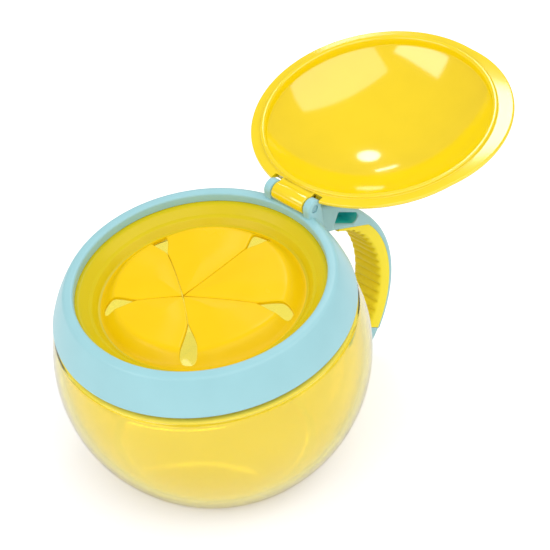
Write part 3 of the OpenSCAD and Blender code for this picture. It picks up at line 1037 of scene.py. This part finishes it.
# %% [markdown]
# A petal is a row of sections laid across it, from its tip to the valley. Near the
# tip they are straight. Further out they turn into arcs round the axis, so that the
# last one lies along the valley. Each section runs along the top from slit to slit
# and back underneath, so the cut edges close by themselves.

# %% Rows across a petal
COLUMNS, VALLEY_STEPS = 48, 8
ROUND_FROM, ROUND_OVER = 0.3, 0.35


def polar(spot, around):
    """Distance and direction of a place, with its direction near another one."""
    turn = atan2(spot.y, spot.x)
    return spot.length, around + (turn - around + pi) % (2 * pi) - pi


def petal_rows(k):
    """Rows across a petal: straight near its tip, round along the valley."""
    left, right_edge = slit_edge(k - 1, 1), slit_edge(k, -1)
    shares = [(1 - cos(pi * j / COLUMNS)) / 2 for j in range(COLUMNS + 1)]
    middle, count = radians(72 * k - 36), len(left)
    rows = []
    for i, (a, b) in enumerate(zip(left, right_edge)):
        (r, low), (q, high) = polar(a, middle), polar(b, middle)
        round_share = smooth((i / count - ROUND_FROM) / ROUND_OVER)
        row = []
        for u in shares:
            turn, far = low + (high - low) * u, r + (q - r) * u
            arched = Vector((cos(turn), sin(turn))) * far
            row.append(a.lerp(b, u).lerp(arched, round_share))
        rows.append(row)
    turns = [low + (high - low) * u for u in shares]
    for i in range(1, VALLEY_STEPS + 1):
        far = r + (VALLEY_R - r) * i / VALLEY_STEPS
        rows.append([Vector((cos(t), sin(t))) * far for t in turns])
    return rows, turns


print("points across a petal:", COLUMNS + 1)

# %% [markdown]
# Rubber bends over a length and not at a line. Each petal is made here as a closed
# sheet in its place, and the CAD node it stands for is hidden.

# %% Petals
SHEET, PETAL_CREASE = 0.9, 50

rim_turns = []
for k in range(1, 6):
    rows, turns = petal_rows(k)
    rim_turns += turns[:-1]
    rings = []
    for row in rows:
        top = []
        for spot in row:
            near = min((spot - row[0]).length, (spot - row[-1]).length)
            top.append(Vector((*spot, sheet_height(spot, near))))
        under = [Vector((p.x, p.y, p.z - SHEET)) for p in reversed(top)]
        rings.append([MOUTH @ p for p in top + under])
    petal = piece(f"petal_{k}_sheet", skin(rings, caps=True), flap_paint, PETAL_CREASE)
    middle = radians(72 * k - 36)
    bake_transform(petal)
    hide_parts(f"petal_{k}")
    print(petal.name, "has", len(rows), "rows")

# %% [markdown]
# The ring uses the directions of the petals' own points, so their edges meet it
# point for point along the valley. Its rim is clamped between neck and collar.

# %% Ring of the flap
RIM_R, RIM_TOP = 37.3, FLAP_TOP - 0.05

ring_outline = eased(
    [(VALLEY_R, VALLEY_H), (29.3, 20.5, 0.5), (30.6, 22.2, 1), (31.6, 22.6, 1),
     (33.8, RIM_TOP, 1.5), (RIM_R, RIM_TOP, 0.2), (RIM_R, SEAT_H, 0.2),
     (33.9, SEAT_H, 0.5), (31.6, 21.1, 0.5), (29.4, 19.4, 0.4),
     (VALLEY_R, VALLEY_H - SHEET)]
)
rings = []
for r, h in ring_outline:
    rings.append([MOUTH @ Vector((r * cos(t), r * sin(t), h)) for t in rim_turns])
flap = piece("flap_dish", skin(rings, loop=True), rim_paint_with_painted_shade)
dress(flap, "insert", "soft_flap", "flap_ring")

# %% [markdown]
# ## Threads
# The collar screws on by four ridges that each climb three millimetres in a quarter
# of a turn. The neck has such ridges on its outside and the skirt has them on its
# inside, half a step lower. One rule sweeps a round section along a spiral and
# copies it round the axis.

# %% Rule for a thread
threads = Rule("threads", Radius="Float", Climb="Float", Turns="Float", Thick="Float",
               Starts="Int")
spiral = threads.node("GeometryNodeCurveSpiral", values={
    "Resolution": 96, "Rotations": threads.input("Turns"),
    "Start Radius": threads.input("Radius"), "End Radius": threads.input("Radius"),
    "Height": threads.input("Climb"),
})
section = threads.node("GeometryNodeCurvePrimitiveCircle", values={
    "Resolution": 10, "Radius": threads.input("Thick"),
})
ridge = threads.node("GeometryNodeCurveToMesh", values={
    "Curve": spiral, "Profile Curve": section, "Fill Caps": True,
})
copies = threads.node("GeometryNodeMeshLine", values={
    "Count": threads.input("Starts"), "Offset": (0, 0, 0),
})
number = threads.node("GeometryNodeInputIndex")
turn = threads.node("ShaderNodeCombineXYZ", values={
    "Z": number * (2 * pi) / threads.input("Starts"),
})
threads.close(threads.node("GeometryNodeInstanceOnPoints", values={
    "Points": copies, "Instance": ridge, "Rotation": turn,
}))
print("nodes in the rule for a thread:", len(threads.tree.nodes))

# %% Threads
THREAD_OUT, THREAD_T, THREAD_CLIMB, THREAD_TURNS, STARTS = 0.25, 0.6, 2.67, 0.222, 4

for name, radius, low, body, slot, paint in (
    ("neck_threads", NECK_R + THREAD_OUT, 19.3,
     "bowl_body", "bowl_plastic", bowl_paint),
    ("skirt_threads", SKIRT_IN - THREAD_OUT, 17.8,
     "collar_body", "frame_plastic", teal_paint),
):
    # The rule makes its own shape, so it can start from any small mesh.
    made = piece(name, skin([[(0, 0, 0)], [(1, 0, 0), (0, 1, 0), (-1, -1, 1)]]), paint)
    threads.make(made, paint, Radius=radius * MM, Climb=THREAD_CLIMB * MM,
                 Turns=THREAD_TURNS, Thick=THREAD_T * MM, Starts=STARTS)
    made.data.transform(
        IN_METRES @ MOUTH @ Matrix.Translation((0, 0, low)) @ IN_METRES.inverted()
    )
    made.data.shade_smooth()
    dress(made, body, slot)

# %% [markdown]
# ## Table and light
# The container stands on a white table. The table gives off a little light to the
# camera alone, so that it stays white and keeps the container's shadow, and it is
# plain white to what looks through the bowl. A Light Path node tells which kind of
# ray asks.

# %% Table
TABLE_HALF, GLOW, GLOW_THROUGH = 3, 0.3, 0.93

floor_mesh = bpy.data.meshes.new("table")
floor_mesh.from_pydata(
    [(x * TABLE_HALF, y * TABLE_HALF, 0)
     for x, y in ((-1, -1), (1, -1), (1, 1), (-1, 1))],
    [], [(0, 1, 2, 3)]
)
floor = bpy.data.objects.new("table", floor_mesh)
scene.collection.objects.link(floor)
table_paint = Paint("white table", (0.9, 0.9, 0.9), 0.9)
ask = table_paint.node("ShaderNodeLightPath")
table_paint.set("Emission Color", (1, 1, 1, 1))
table_paint.set("Emission Strength", ask.part("Is Camera Ray") * GLOW)
seen_through = table_paint.node(
    "ShaderNodeEmission", values={"Color": (1, 1, 1, 1), "Strength": GLOW_THROUGH}
)
table_paint.cover(ask.part("Transmission Depth").clamped(), seen_through)
floor_mesh.materials.append(table_paint.material)
print("table:", 2 * TABLE_HALF, "m wide")

# %% [markdown]
# The room is bright all round. To the camera and through clear plastic it is white,
# and in gloss it shows only dimly, because a glossy lid would go pale in it.

# %% Room
ROOM, ROOM_IN_GLOSS = 0.85, 0.22

world = bpy.data.worlds.new("room")
scene.world = world
world.use_nodes = True
room = Graph(world.node_tree)
path = room.node("ShaderNodeLightPath")
plain = (path.part("Is Camera Ray") + path.part("Transmission Depth")).clamped()
gloss = path.part("Is Glossy Ray") * (1 - plain)
strength = ROOM + plain * (1 - ROOM) + gloss * (ROOM_IN_GLOSS - ROOM)
backdrop = world.node_tree.nodes["Background"]
backdrop.inputs["Color"].default_value = (1, 1, 1, 1)
world.node_tree.links.new(strength.socket, backdrop.inputs["Strength"])
print("room:", ROOM)

# %% [markdown]
# Two large softboxes at the sides show as pale patches in the lid. A small round
# lamp and a narrow one behind it give the sharp spots.

# %% Lamps
AIM = Vector((0.03, 0, 0.06))


def lamp(name, bearing, slope, distance, wide, high, radiance, round_one=False):
    """Flat lamp that faces the container from a bearing and a slope in degrees."""
    data = bpy.data.lights.new(name, "AREA")
    data.shape = "ELLIPSE" if round_one else "RECTANGLE"
    data.size, data.size_y = wide, high
    area = wide * high * (pi / 4 if round_one else 1)
    data.energy = radiance * pi * area
    made = bpy.data.objects.new(name, data)
    scene.collection.objects.link(made)
    way = Vector((cos(radians(bearing)) * cos(radians(slope)),
                  sin(radians(bearing)) * cos(radians(slope)), sin(radians(slope))))
    made.location = AIM + way * distance
    made.rotation_euler = way.to_track_quat("Z", "Y").to_euler()


lamp("side softbox", -101, 52, 1.2, wide=1.8, high=0.85, radiance=1.2)
lamp("window", 168, 29, 1.4, wide=1.1, high=0.45, radiance=2.2)
lamp("spot", 45, 54, 1.3, wide=0.25, high=0.26, radiance=6, round_one=True)
lamp("strip", 52, 37, 1.3, wide=0.2, high=0.05, radiance=6)

scene.view_settings.view_transform = "Standard"
print("lamps:", len(bpy.data.lights))
